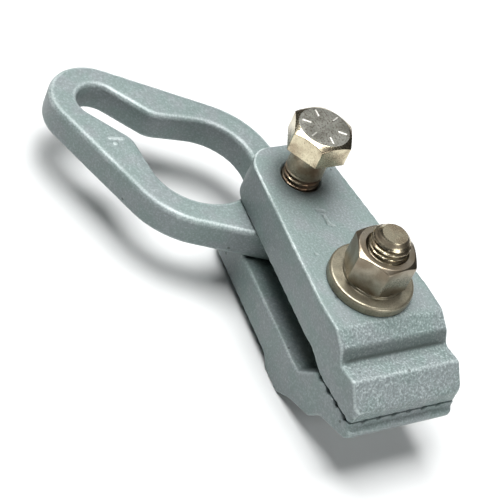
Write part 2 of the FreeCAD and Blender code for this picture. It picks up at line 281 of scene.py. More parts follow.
class GeometryTree(Graph):
    """A Geometry Nodes tree with named inputs, and the modifier that runs it once."""

    def __init__(self, name: str, sizes: dict[str, type]) -> None:
        """Make the tree and its interface.

        Args:
            name: name of the node group.
            sizes: names and types of the inputs, float or int.
        """
        tree = bpy.data.node_groups.new(name, "GeometryNodeTree")
        super().__init__(tree)
        tree.interface.new_socket("Geometry", in_out="INPUT", socket_type="NodeSocketGeometry")
        kinds = {float: "NodeSocketFloat", int: "NodeSocketInt"}
        for size, kind in sizes.items():
            tree.interface.new_socket(size, in_out="INPUT", socket_type=kinds[kind])
        tree.interface.new_socket("Material", in_out="INPUT", socket_type="NodeSocketMaterial")
        tree.interface.new_socket("Geometry", in_out="OUTPUT", socket_type="NodeSocketGeometry")
        self.group = self.node("NodeGroupInput")

    def size(self, name: str) -> Value:
        """One of the tree's inputs."""
        return Value(self, self.group.outputs[name])

    def finish(self, geometry: Value) -> None:
        """Realize the instances, set the material and end the tree.

        Args:
            geometry: what the tree made.
        """
        solid = self.value("GeometryNodeRealizeInstances", None, {"Geometry": geometry})
        inputs = {"Geometry": solid, "Material": self.size("Material")}
        dressed = self.value("GeometryNodeSetMaterial", None, inputs)
        self.node("NodeGroupOutput", None, {"Geometry": dressed})

    def store(self, geometry: Input, name: str, value: Value) -> Value:
        """The geometry with a number kept at each point under a name.

        Args:
            geometry: what to keep the number on.
            name: the attribute's name.
            value: the number.

        Returns:
            The geometry with its new attribute.
        """
        return self.value("GeometryNodeStoreNamedAttribute", {"data_type": "FLOAT", "domain": "POINT"}, {
            "Geometry": geometry, "Name": name, "Value": value,
        })

    def grow(self, name: str, values: dict[str, Any], material: bpy.types.Material) -> bpy.types.Mesh:
        """Run the tree on nothing, for a tree that makes its own geometry.

        Args:
            name: name of the mesh.
            values: the tree's inputs by name.
            material: what the result is made of.

        Returns:
            A new mesh.
        """
        holder = new_object(f"{name}_holder", bpy.data.meshes.new(name))
        mesh = self.run(holder, values, material)
        bpy.data.objects.remove(holder)
        return mesh

    def run(self, source: bpy.types.Object, values: dict[str, Any],
            material: bpy.types.Material) -> bpy.types.Mesh:
        """Run the tree on an object and return its result as a plain mesh.

        Args:
            source: object whose mesh goes in; its other modifiers run first.
            values: the tree's inputs by name.
            material: what the result is made of.

        Returns:
            A new mesh, with no modifier left behind.
        """
        modifier = source.modifiers.new(self.tree.name, "NODES")
        modifier.node_group = self.tree
        for item in self.tree.interface.items_tree:
            if item.in_out == "INPUT" and item.name in values:
                modifier[item.identifier] = values[item.name]
            elif item.in_out == "INPUT" and item.name == "Material":
                modifier[item.identifier] = material
        depsgraph = bpy.context.evaluated_depsgraph_get()
        mesh = bpy.data.meshes.new_from_object(source.evaluated_get(depsgraph))
        source.modifiers.clear()
        return mesh


# ---------------------------------------------------------------------------------------------
# Finishes
# ---------------------------------------------------------------------------------------------

class MaterialSlot(Enum):
    """The record's material slots."""

    FORGED_PAINT = "forged_paint"
    PLATED_STEEL = "plated_steel"


@dataclass(frozen=True)
class ForgedPaint:
    """Pale metallic paint over a forged and shot-blasted surface."""

    shadow_x: float
    half_width: float
    name: str = "forged_paint"
    green: tuple = (0.150, 0.198, 0.190, 1.0)
    grey: tuple = (0.172, 0.202, 0.205, 1.0)
    # Light paint for bright grain and sand, for worn edges, and for the painted highlight along the edges.
    burnished_and_highlight: tuple = (0.62, 0.70, 0.69, 1.0)
    shaded: tuple = (0.040, 0.054, 0.050, 1.0)
    metallic: float = 0.08
    shadow_from: float = 5.5 * MM
    shadow_to: float = 15.0 * MM
    wall_rear: float = 19.4 * MM
    wall_front: float = 23.0 * MM
    wall_low: float = 30.0 * MM
    sand_low: float = 24.5 * MM
    sand_rear: float = 10.0 * MM
    sand_front: float = 17.0 * MM
    highlight_cut_rear: float = -40.0 * MM
    highlight_cut_front: float = -36.0 * MM

    def build(self) -> bpy.types.Material:
        """Make the material.

        Returns:
            The paint, with tinted patches, grain, pits, worn edges with a painted highlight, and painted
            shade in the hollows, on the valley wall and round the back bolt.
        """
        graph = MaterialGraph(self.name)
        along, across, height = graph.split(graph.place)
        patch = graph.noise(graph.place, 110.0, 3.0)
        grain = graph.noise(graph.place, 1500.0, 3.0)
        speck = graph.noise(graph.place, 3400.0, 1.0)
        sand = graph.noise(graph.place, 1500.0, 2.0)
        broad = graph.noise(graph.place, 38.0, 1.0)
        inside = abs(across).ramp(self.half_width - 1.1 * MM, self.half_width - 0.5 * MM, 1.0, 0.0)
        sandy = along.ramp(self.sand_rear, self.sand_front) * inside
        sandy = sandy * height.ramp(self.sand_low, self.sand_low + MM, 0.25, 1.0)
        pit = self._pits(graph)
        # Worn edges with a painted highlight: convex edges are lightened, broken up by noise.
        edge = graph.attribute("edge_wear_and_highlight").ramp(0.12, 0.50) * patch.ramp(0.25, 0.6, 0.5, 1.0)
        edge = edge * broad.ramp(0.38, 0.55, 0.35, 1.0) * sand.ramp(0.35, 0.55, 0.55, 1.0)
        # Low edges, below sand_low and away from the back end, get less painted highlight.
        highlight_cut = height.ramp(self.sand_low - MM, self.sand_low + MM, 1.0, 0.0)
        highlight_cut = highlight_cut * along.ramp(self.highlight_cut_rear, self.highlight_cut_front)
        edge = edge * (1.0 - highlight_cut * 0.75)
        # Painted shade: sunk places, the valley's rear wall and the ring round the back bolt are mixed
        # towards the shaded paint; the pits are real.
        hollow_shade = graph.attribute("hollow_shade").ramp(0.10, 0.75)
        shade_and_pits = hollow_shade * 0.35 + self._valley_wall(along, height, inside) * 0.62
        shade_and_pits = shade_and_pits + pit * 0.7 + self._bolt_shadow(along, across, height) * 0.6
        paint = graph.mix(patch.ramp(0.38, 0.62), self.green, self.grey)
        for share, colour in (
            (grain.ramp(0.45, 0.80) * 0.20, self.burnished_and_highlight),
            (grain.ramp(0.50, 0.25) * 0.18, self.shaded),
            (sand.ramp(0.50, 0.70) * sandy * 0.18, self.burnished_and_highlight),
            (sand.ramp(0.48, 0.30) * sandy * 0.25, self.shaded),
            (edge * 0.75, self.burnished_and_highlight),
            (shade_and_pits.below(1.0), self.shaded),
        ):
            paint = graph.mix(share, paint, colour)
        rough = 0.44 - edge * 0.10 + (grain - 0.5) * 0.25 + pit * 0.2
        relief = grain * 0.7 + speck * 0.5 + sand * sandy * 1.6 - pit * 1.2
        return graph.finish(paint, rough, self.metallic, graph.bump(0.55, 0.22 * MM, relief))

    @staticmethod
    def _pits(graph: MaterialGraph) -> Value:
        """Small round pits in a few cells out of a hundred.

        Args:
            graph: the paint's tree.

        Returns:
            1 in a pit and 0 elsewhere.
        """
        cell = graph.node("ShaderNodeTexVoronoi", None, {
            "Vector": graph.place, "Scale": 300.0, "Randomness": 1.0,
        })
        pick = graph.value("ShaderNodeSeparateColor", None, {"Color": cell.outputs["Color"]})
        return Value(graph, cell.outputs["Distance"]).ramp(0.10, 0.20, 1.0, 0.0) * pick.ramp(0.95, 0.97)

    def _valley_wall(self, along: Value, height: Value, inside: Value) -> Value:
        """Painted shade on the rear wall of the upper jaw's valley.

        Args:
            along: place along the clamp.
            height: place upwards.
            inside: 0 at the jaw's side faces, 1 between them.

        Returns:
            1 on the wall and 0 elsewhere.
        """
        wall = along.ramp(self.wall_rear, self.wall_rear + 1.2 * MM)
        wall = wall * along.ramp(self.wall_front - 0.6 * MM, self.wall_front + 0.3 * MM, 1.0, 0.0)
        return wall * inside * height.ramp(self.wall_low, self.wall_low + 2.0 * MM)

    def _bolt_shadow(self, along: Value, across: Value, height: Value) -> Value:
        """Painted shadow on the upper jaw round the back bolt.

        Args:
            along: place along the clamp.
            across: place across it.
            height: place upwards.

        Returns:
            1 beside the bolt and 0 elsewhere.
        """
        # Painted shadow, fading out from the bolt's axis, on the upper jaw's top only.
        from_bolt = along - self.shadow_x
        away = (from_bolt * from_bolt + across * across).root()
        bolt_shade = away.ramp(self.shadow_from, self.shadow_to, 1.0, 0.0)
        return bolt_shade * height.ramp(self.sand_low, self.sand_low + MM)


@dataclass(frozen=True)
class PlatedSteel:
    """Yellow zinc plating on machined or stamped steel."""

    name: str
    pale: tuple = (0.64, 0.57, 0.41, 1.0)
    brown: tuple = (0.36, 0.29, 0.20, 1.0)
    grime_and_groove_shade: tuple = (0.07, 0.055, 0.04, 1.0)
    roughness: float = 0.24
    speckle: float = 0.25
    relief: float = 0.35
    metallic: float = 1.0

    def build(self) -> bpy.types.Material:
        """Make the material.

        Returns:
            Plated steel with cloudy brown patches, painted shade in its grooves and a fine speckle.
        """
        graph = MaterialGraph(self.name)
        cloud = graph.noise(graph.place, 170.0, 4.0)
        speck = graph.noise(graph.place, 1900.0, 2.0)
        groove = graph.attribute("groove")
        tone = graph.mix(cloud.ramp(0.35, 0.68), self.pale, self.brown)
        tone = graph.mix(speck.ramp(0.48, 0.66) * self.speckle, tone, self.grime_and_groove_shade)
        # Painted shade in the thread grooves.
        tone = graph.mix(groove.ramp(0.1, 0.9) * 0.8, tone, self.grime_and_groove_shade)
        rough = self.roughness + (cloud - 0.5) * 0.22 + groove * 0.25
        rough = rough + speck.ramp(0.45, 0.7) * self.speckle * 0.3
        relief = graph.bump(self.relief, 0.10 * MM, speck * 0.8 + cloud * 0.5)
        return graph.finish(tone, rough, self.metallic, relief)


@dataclass(frozen=True)
class PaleFloor:
    """Plain white studio floor."""

    name: str = "pale_floor"
    colour: tuple = (0.66, 0.67, 0.67, 1.0)

    def build(self) -> bpy.types.Material:
        """Make the material."""
        return MaterialGraph(self.name).finish(self.colour, 0.9)


# ---------------------------------------------------------------------------------------------
# Mesh helpers
# ---------------------------------------------------------------------------------------------

def new_object(name: str, mesh: bpy.types.Mesh) -> bpy.types.Object:
    """Link a new object at the origin that holds the mesh.

    Args:
        name: name of the object.
        mesh: its mesh.

    Returns:
        The object.
    """
    piece = bpy.data.objects.new(name, mesh)
    bpy.context.scene.collection.objects.link(piece)
    return piece


def points_of(mesh: bpy.types.Mesh) -> np.ndarray:
    """The mesh's points, one row each.

    Args:
        mesh: the mesh to read.

    Returns:
        An array with three columns.
    """
    flat = np.empty(len(mesh.vertices) * 3)
    mesh.vertices.foreach_get("co", flat)
    return flat.reshape(-1, 3)


def put_points(mesh: bpy.types.Mesh, points: np.ndarray) -> None:
    """Give the mesh new points."""
    mesh.vertices.foreach_set("co", points.ravel())
    mesh.update()


def weld(mesh: bpy.types.Mesh, fill: bool = False) -> None:
    """Merge doubled points, fill what is open if asked, and turn the faces outwards.

    Args:
        mesh: the mesh to mend.
        fill: whether open rings get an end face.
    """
    work = bmesh.new()
    work.from_mesh(mesh)
    bmesh.ops.remove_doubles(work, verts=work.verts, dist=WELD)
    bmesh.ops.dissolve_degenerate(work, dist=WELD / 2, edges=work.edges)
    if fill:
        bmesh.ops.holes_fill(work, edges=[edge for edge in work.edges if edge.is_boundary], sides=0)
    bmesh.ops.recalc_face_normals(work, faces=work.faces)
    work.to_mesh(mesh)
    work.free()
    mesh.update()


def joined(name: str, meshes: list[bpy.types.Mesh]) -> bpy.types.Mesh:
    """One mesh made of several.

    Args:
        name: name of the new mesh.
        meshes: what goes in, each with its own material in its first slot.

    Returns:
        The joined mesh, with each part's material kept.
    """
    parts = [new_object(f"{name}_part_{number}", mesh) for number, mesh in enumerate(meshes)]
    chosen = {"active_object": parts[0], "selected_objects": parts, "selected_editable_objects": parts}
    with bpy.context.temp_override(**chosen):
        bpy.ops.object.join()
    mesh = parts[0].data
    mesh.name = name
    bpy.data.objects.remove(parts[0])
    return mesh


def settle(name: str, mesh: bpy.types.Mesh, body: str, node: str) -> bpy.types.Object:
    """Put a finished mesh on its body, in place of a CAD node.

    Args:
        name: name of the new piece.
        mesh: its finished mesh.
        body: the body it moves with.
        node: the CAD node it stands for.

    Returns:
        The piece.
    """
    piece = new_object(name, mesh)
    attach(piece, body)
    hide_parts(node)
    log.info("%s: %d faces", name, len(mesh.polygons))
    return piece


@dataclass
class RingStack:
    """A closed surface made of rings, each with a point on every column."""

    axis_x: float = 0.0
    turn_deg: float = 0.0
    rings: list = field(default_factory=list)

    @property
    def angles(self) -> np.ndarray:
        """Angles of the columns, in radians."""
        return np.arange(COLUMNS) * (2 * math.pi / COLUMNS) + math.radians(self.turn_deg)

    def add(self, radius: Union[float, np.ndarray], height: Union[float, np.ndarray]) -> None:
        """Add a ring, whose radius and height are numbers, or one number for each column.

        Args:
            radius: distance from the axis.
            height: level.
        """
        turns = self.angles
        ring = np.empty((COLUMNS, 3))
        ring[:, 0] = self.axis_x + radius * np.cos(turns)
        ring[:, 1] = radius * np.sin(turns)
        ring[:, 2] = height
        self.rings.append(ring)

    def round_edge(self, before: tuple, corner: tuple, after: tuple, radius: float, steps: int = 4) -> None:
        """Add the rings of a rounded edge.

        Args:
            before: (radius, height) of a place before the corner.
            corner: (radius, height) of the sharp corner.
            after: (radius, height) of a place after it.
            radius: how far from the corner the rounding starts.
            steps: rings across it, less one.
        """
        middle = np.array([np.broadcast_to(part, COLUMNS) for part in corner], float)
        ends = []
        for place in (before, after):
            way = np.array([np.broadcast_to(part, COLUMNS) for part in place], float) - middle
            ends.append(middle + way / np.linalg.norm(way, axis=0) * radius)
        for share in np.linspace(0.0, 1.0, steps + 1):
            point = (1 - share) ** 2 * ends[0] + 2 * share * (1 - share) * middle + share ** 2 * ends[1]
            self.add(point[0], point[1])

    def mesh(self, name: str, material: bpy.types.Material, loop: bool = False) -> bpy.types.Mesh:
        """The rings joined by faces.

        Args:
            name: name of the mesh.
            material: what it is made of.
            loop: whether the last ring joins the first, as on a washer.

        Returns:
            The mesh, not yet welded.
        """
        count = len(self.rings)
        points = np.concatenate(self.rings)
        faces = []
        for row in range(count if loop else count - 1):
            low = row * COLUMNS
            high = (row + 1) % count * COLUMNS
            for column in range(COLUMNS):
                following = (column + 1) % COLUMNS
                faces.append((low + column, low + following, high + following, high + column))
        mesh = bpy.data.meshes.new(name)
        mesh.from_pydata(points.tolist(), [], faces)
        mesh.materials.append(material)
        return mesh


def hexagon_radius(angles: np.ndarray, turn_deg: float, across_flats: float, corner: float) -> np.ndarray:
    """Distance from the middle of a hexagon to its rounded outline.

    Args:
        angles: directions, in radians.
        turn_deg: direction of the middle of one flat.
        across_flats: the spanner size.
        corner: radius of the rounded corners.

    Returns:
        One distance for each direction.
    """
    sector = math.radians(60)
    inset = across_flats / 2
    from_flat = np.abs((angles - math.radians(turn_deg) + sector / 2) % sector - sector / 2)
    centre = (inset - corner) / math.cos(sector / 2)
    on_flat = from_flat <= math.atan2(centre * math.sin(sector / 2), inset)
    to_corner = sector / 2 - from_flat
    beside = centre * np.sin(to_corner)
    arc = centre * np.cos(to_corner) + np.sqrt(np.maximum(corner ** 2 - beside ** 2, 0))
    return np.where(on_flat, inset / np.cos(from_flat), arc)


# ---------------------------------------------------------------------------------------------
# Geometry trees
# ---------------------------------------------------------------------------------------------

def thread_tree() -> GeometryTree:
    """The tree that makes a threaded tube, open at both ends.

    Returns:
        A tree whose grid is rolled up round an axis, with a helical groove cut in it.
    """
    tree = GeometryTree("helical_thread", {
        "Columns": int, "Rows": int, "Axis X": float, "Turn": float, "Bottom": float, "Top": float,
        "Crest Radius": float, "Depth": float, "Pitch": float, "Low Fade": float, "High Fade": float,
        "Low Tip": float, "High Tip": float,
    })
    grid = tree.value("GeometryNodeMeshGrid", None, {
        "Size X": 1.0, "Size Y": 1.0,
        "Vertices X": tree.size("Columns") + 1, "Vertices Y": tree.size("Rows"),
    })
    grid_x, grid_y, _ = tree.split(tree.value("GeometryNodeInputPosition"))
    bottom = tree.size("Bottom")
    top = tree.size("Top")
    height = bottom + (grid_y + 0.5) * (top - bottom)
    angle = (grid_x + 0.5) * (2 * math.pi) + tree.size("Turn")
    helix = (height / tree.size("Pitch") - angle / (2 * math.pi)).fraction()
    groove = abs(helix * 2 - 1).ramp(0.12, 0.86, 1.0, 0.0)
    fade_low = ((height - bottom) / tree.size("Low Fade")).ramp(0.0, 1.0)
    fade_high = ((top - height) / tree.size("High Fade")).ramp(0.0, 1.0)
    groove = groove * fade_low * fade_high
    radius = tree.size("Crest Radius") - groove * tree.size("Depth")
    radius = radius.below(tree.size("Low Tip") + (height - bottom))
    radius = radius.below(tree.size("High Tip") + (top - height))
    spot = tree.vector(X=tree.size("Axis X") + radius * angle.cosine(), Y=radius * angle.sine(), Z=height)
    marked = tree.store(grid, "groove", groove)
    rolled = tree.value("GeometryNodeSetPosition", None, {"Geometry": marked, "Position": spot})
    closed = tree.value("GeometryNodeMergeByDistance", None, {"Geometry": rolled, "Distance": WELD})
    tree.finish(closed)
    return tree


def grade_mark_tree() -> GeometryTree:
    """The tree that stands raised bars round a bolt head, each pointing at the middle.

    Returns:
        A tree whose bars are instances on a ring of points.
    """
    tree = GeometryTree("radial_marks", {
        "Count": int, "Axis X": float, "Height": float, "Middle Radius": float, "Length": float,
        "Width": float, "Rise": float, "Turn": float,
    })
    half = tree.size("Length") / 2
    line = tree.value("GeometryNodeCurvePrimitiveLine", None, {
        "Start": tree.vector(X=half * -1.0), "End": tree.vector(X=half),
    })
    profile = tree.value("GeometryNodeCurvePrimitiveCircle", {"mode": "RADIUS"}, {
        "Resolution": 12, "Radius": tree.size("Width") / 2,
    })
    bar = tree.value("GeometryNodeCurveToMesh", None, {
        "Curve": line, "Profile Curve": profile, "Fill Caps": True,
    })
    flattened = tree.size("Rise") * 2 / tree.size("Width")
    bar = tree.value("GeometryNodeTransform", None, {
        "Geometry": bar, "Scale": tree.vector(X=1.0, Y=1.0, Z=flattened),
    })
    ring = tree.value("GeometryNodeMeshCircle", {"fill_type": "NONE"}, {
        "Vertices": tree.size("Count"), "Radius": tree.size("Middle Radius"),
    })
    heading = tree.value("GeometryNodeInputIndex") / tree.size("Count") * (2 * math.pi)
    bars = tree.value("GeometryNodeInstanceOnPoints", None, {
        "Points": ring, "Instance": bar, "Rotation": tree.vector(Z=heading),
    })
    placed = tree.value("GeometryNodeTransform", None, {
        "Geometry": bars, "Translation": tree.vector(X=tree.size("Axis X"), Z=tree.size("Height")),
        "Rotation": tree.vector(Z=tree.size("Turn")),
    })
    tree.finish(placed)
    return tree


def forging_tree() -> GeometryTree:
    """The tree that rounds a forging's edges and roughens its skin.

    Returns:
        A tree that blurs the points except at the teeth, keeps how far each edge went down as a mask for
        wear and painted highlight, keeps how sunk each place is as a mask for painted shade, and lowers the
        skin by two sizes of noise.
    """
    tree = GeometryTree("forged_skin", {
        "Rounding Steps": int, "Tooth Start": float, "Tooth Low": float, "Tooth High": float,
        "Hollow Steps": int, "Edge Mask Depth": float, "Hollow Depth": float,
        "Scale Depth": float, "Grain Depth": float,
    })
    place = tree.value("GeometryNodeInputPosition")
    normal = tree.value("GeometryNodeInputNormal")
    along, _, height = tree.split(place)
    start, low, high = (tree.size(name) for name in ("Tooth Start", "Tooth Low", "Tooth High"))
    teeth = along.ramp(start - 0.5 * MM, start + 0.5 * MM) * height.ramp(low - 0.4 * MM, low + 0.4 * MM)
    teeth = teeth * height.ramp(high - 0.4 * MM, high + 0.4 * MM, 1.0, 0.0)
    rounded = tree.value("GeometryNodeBlurAttribute", {"data_type": "FLOAT_VECTOR"}, {
        "Value": place, "Iterations": tree.size("Rounding Steps"), "Weight": 1.0 - teeth * 0.97,
    })
    sunk = tree.value("GeometryNodeBlurAttribute", {"data_type": "FLOAT_VECTOR"}, {
        "Value": place, "Iterations": tree.size("Hollow Steps"),
    })
    geometry = Value(tree, tree.group.outputs["Geometry"])
    # Convex edges are kept as a mask for wear and painted highlight, sunk places as a mask for painted
    # shade.
    for name, smoothed, unit in (("edge_wear_and_highlight", rounded, "Edge Mask Depth"), ("hollow_shade", sunk, "Hollow Depth")):
        drop = tree.value("ShaderNodeVectorMath", {"operation": "SUBTRACT"}, {0: place, 1: smoothed})
        down = {0: drop, 1: normal}
        fall = tree.value("ShaderNodeVectorMath", {"operation": "DOT_PRODUCT"}, down, "Value")
        geometry = tree.store(geometry, name, fall / tree.size(unit))
    geometry = tree.value("GeometryNodeSetPosition", None, {"Geometry": geometry, "Position": rounded})
    depth = tree.noise(place, 160.0, 2.0) * tree.size("Scale Depth")
    depth = depth + tree.noise(place, 760.0, 2.0) * tree.size("Grain Depth")
    offset = tree.value("ShaderNodeVectorMath", {"operation": "SCALE"}, {0: normal, "Scale": depth * -1.0})
    geometry = tree.value("GeometryNodeSetPosition", None, {"Geometry": geometry, "Offset": offset})
    tree.finish(geometry)
    return tree


# ---------------------------------------------------------------------------------------------
# Forgings
# ---------------------------------------------------------------------------------------------

@dataclass(frozen=True)
class Mark:
    """A short raised or sunk bar on an upward face, with round ends."""

    start: tuple
    end: tuple
    half_width: float
    rise: float

    @classmethod
    def in_mm(cls, start: tuple, end: tuple, half_width: float, rise: float) -> "Mark":
        """A bar whose places and sizes are given in millimetres."""
        ends = [tuple(part * MM for part in end_point) for end_point in (start, end)]
        return cls(*ends, half_width * MM, rise * MM)

    def lift(self, points: np.ndarray) -> np.ndarray:
        """How far the bar moves each point up, from the points' places in plan.

        Args:
            points: places, one row each.

        Returns:
            One height for each point.
        """
        first = np.array(self.start)
        way = np.array(self.end) - first
        share = np.clip((points[:, :2] - first) @ way / max(way @ way, WELD ** 2), 0, 1)
        away = np.linalg.norm(points[:, :2] - first - share[:, None] * way, axis=1)
        slope = np.clip((1.6 * self.half_width - away) / (1.2 * self.half_width), 0, 1)
        return self.rise * slope * slope * (3 - 2 * slope)


@dataclass
class Forging:
    """A forged piece: the CAD solid with rounded edges, a rough skin and its bores kept true."""

    node: str
    body: str
    piece: str
    tree: GeometryTree
    paint: bpy.types.Material
    voxel: float = 0.42 * MM
    rounding_steps: int = 7
    tooth_start: float = 1.0
    tooth_low: float = 0.0
    tooth_high: float = 0.0
    bores: tuple = ()
    marks: tuple = ()
    mark_level: float = 0.0
    hollow_steps: int = 90
    edge_mask_depth: float = 0.32 * MM
    hollow_depth: float = -0.5 * MM
    scale_depth: float = 0.10 * MM
    grain_depth: float = 0.07 * MM

    def build(self) -> bpy.types.Object:
        """Make the piece and put it on its body.

        Returns:
            The finished object.
        """
        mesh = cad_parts[self.node].data.copy()
        weld(mesh)
        raw = new_object(f"{self.piece}_raw", mesh)
        remesh = raw.modifiers.new("even_skin", "REMESH")
        remesh.mode = "VOXEL"
        remesh.voxel_size = self.voxel
        skin = self.tree.run(raw, {
            "Rounding Steps": self.rounding_steps, "Tooth Start": self.tooth_start,
            "Tooth Low": self.tooth_low, "Tooth High": self.tooth_high, "Hollow Steps": self.hollow_steps,
            "Edge Mask Depth": self.edge_mask_depth, "Hollow Depth": self.hollow_depth,
            "Scale Depth": self.scale_depth, "Grain Depth": self.grain_depth,
        }, self.paint)
        bpy.data.objects.remove(raw)
        points = points_of(skin)
        self._strike(skin, points)
        self._true_bores(points)
        put_points(skin, points)
        skin.shade_smooth()
        return settle(self.piece, skin, self.body, self.node)

    def _strike(self, skin: bpy.types.Mesh, points: np.ndarray) -> None:
        """Raise or sink the marks on the upward face at mark_level; raised ones join the wear and
        painted-highlight mask, sunk ones the painted-shade mask.

        Args:
            skin: the piece's mesh.
            points: its points, which are moved.
        """
        on_face = np.abs(points[:, 2] - self.mark_level) < 0.4 * MM
        for mark in self.marks:
            lift = np.where(on_face, mark.lift(points), 0.0)
            # Raised marks are shown with the wear and painted-highlight mask, sunk marks with the
            # painted-shade mask.
            shown = skin.attributes["edge_wear_and_highlight" if mark.rise > 0 else "hollow_shade"]
            values = np.empty(len(points))
            shown.data.foreach_get("value", values)
            shown.data.foreach_set("value", np.maximum(values, 1.6 * lift / mark.rise))
            points[:, 2] += lift

    def _true_bores(self, points: np.ndarray) -> None:
        """Push points out of the bores; each is (x, radius, bottom, top).

        Args:
            points: the piece's points, which are moved.
        """
        for x, radius, bottom, top in self.bores:
            from_axis = points[:, :2] - (x, 0.0)
            distance = np.linalg.norm(from_axis, axis=1)
            inside = (distance < radius) & (distance > radius / 2)
            inside &= (points[:, 2] > bottom) & (points[:, 2] < top)
            points[inside, :2] = (x, 0.0) + from_axis[inside] * (radius / distance[inside])[:, None]


# ---------------------------------------------------------------------------------------------
# Fasteners
# ---------------------------------------------------------------------------------------------

@dataclass
class Thread:
    """Sizes of a half-inch thread, cut inside the CAD's plain cylinder."""

    tree: GeometryTree
    crest_radius: float = 6.28 * MM
    depth: float = 1.05 * MM
    bore_gap: float = 0.07 * MM

    def tube(self, name: str, steel: bpy.types.Material, axis_x: float, bottom: float, top: float,
             crest_radius: float, low_tip: float, high_tip: float, low_fade: float, high_fade: float,
             turn_deg: float = 0.0) -> bpy.types.Mesh:
        """A threaded tube between two levels, open at both ends.

        Args:
            name: name of the mesh.
            steel: what it is made of.
            axis_x: where its axis stands.
            bottom: its lowest level.
            top: its highest level.
            crest_radius: radius over the crests.
            low_tip: radius at the lower end, from which a chamfer grows.
            high_tip: radius at the upper end.
            low_fade: length over which the groove grows at the lower end.
            high_fade: length over which it runs out at the upper end.
            turn_deg: where its first column stands.

        Returns:
            The tube's mesh, with its groove as an attribute.
        """
        return self.tree.grow(name, {
            "Columns": COLUMNS, "Rows": 2 + round((top - bottom) / PITCH * ROWS_PER_PITCH),
            "Axis X": axis_x, "Turn": math.radians(turn_deg), "Bottom": bottom, "Top": top,
            "Crest Radius": crest_radius, "Depth": self.depth, "Pitch": PITCH,
            "Low Fade": low_fade, "High Fade": high_fade, "Low Tip": low_tip, "High Tip": high_tip,
        }, steel)


@dataclass
class Hexagon:
    """A spanner hexagon with chamfered ends and slightly rounded corners."""

    across_flats: float = 18.94 * MM
    corner: float = 0.55 * MM
    face_inset: float = 0.38 * MM
    chamfer_slope: float = math.tan(math.radians(30))
    edge: float = 0.16 * MM

    def outline(self, stack: RingStack) -> np.ndarray:
        """Radius of the outline on each column of a stack that starts on a flat's middle."""
        return hexagon_radius(stack.angles, stack.turn_deg, self.across_flats, self.corner)

    def chamfered_end(self, stack: RingStack, level: float, inward: float, inner_radius: float,
                      downward: bool) -> None:
        """Add an end face with its chamfer, from the middle outwards, or from the side inwards.

        Args:
            stack: the stack to add to.
            level: height of the end face.
            inward: +1 where the solid lies above the face, -1 where it lies below.
            inner_radius: where the flat face ends at the middle.
            downward: whether the rings run from the face to the side.
        """
        outline = self.outline(stack)
        face_radius = self.across_flats / 2 - self.face_inset
        drop = (outline - face_radius) * self.chamfer_slope * inward
        middle, face, side = (inner_radius, level), (face_radius, level), (outline, level + drop)
        part = RingStack(stack.axis_x, stack.turn_deg)
        part.add(*middle)
        part.round_edge(middle, face, side, self.edge)
        part.round_edge(face, side, (outline, level + drop + inward * MM), self.edge)
        stack.rings.extend(part.rings if downward else reversed(part.rings))


@dataclass
class Fastener:
    """What the bolts, nut and washer share."""

    thread: Thread
    steel: bpy.types.Material
    hexagon: Hexagon = field(default_factory=Hexagon)

    def place(self, mesh: bpy.types.Mesh, body: str, node: str) -> bpy.types.Object:
        """Shade a fastener's mesh and put it on its body in place of its CAD node.

        Args:
            mesh: the finished mesh.
            body: the body it moves with.
            node: the CAD node it stands for.

        Returns:
            The piece.
        """
        mesh.shade_smooth()
        mesh.set_sharp_from_angle(angle=SMOOTH_ANGLE)
        return settle(f"{node}_steel", mesh, body, node)


@dataclass
class Bolt(Fastener):
    """What the two bolts share: a hexagon head, and a neck that runs into the thread."""

    seat_round: float = 0.3 * MM
    neck_fillet: float = 0.5 * MM

    def head(self, stack: RingStack, face: float, seat: float, end: float) -> RingStack:
        """Add the rings of the head and the neck.

        Args:
            stack: an empty stack, on the bolt's axis.
            face: height of the head's end face.
            seat: height of the face under the head.
            end: where the neck ends.

        Returns:
            The same stack.
        """
        radius = self.thread.crest_radius
        stack.add(0.0, face)
        self.hexagon.chamfered_end(stack, face, math.copysign(1.0, seat - face), radius, True)
        outline = self.hexagon.outline(stack)
        stack.round_edge((outline, face), (outline, seat), (radius, seat), self.seat_round)
        stack.round_edge((outline, seat), (radius, seat), (radius, end), self.neck_fillet)
        stack.add(radius, end)
        return stack


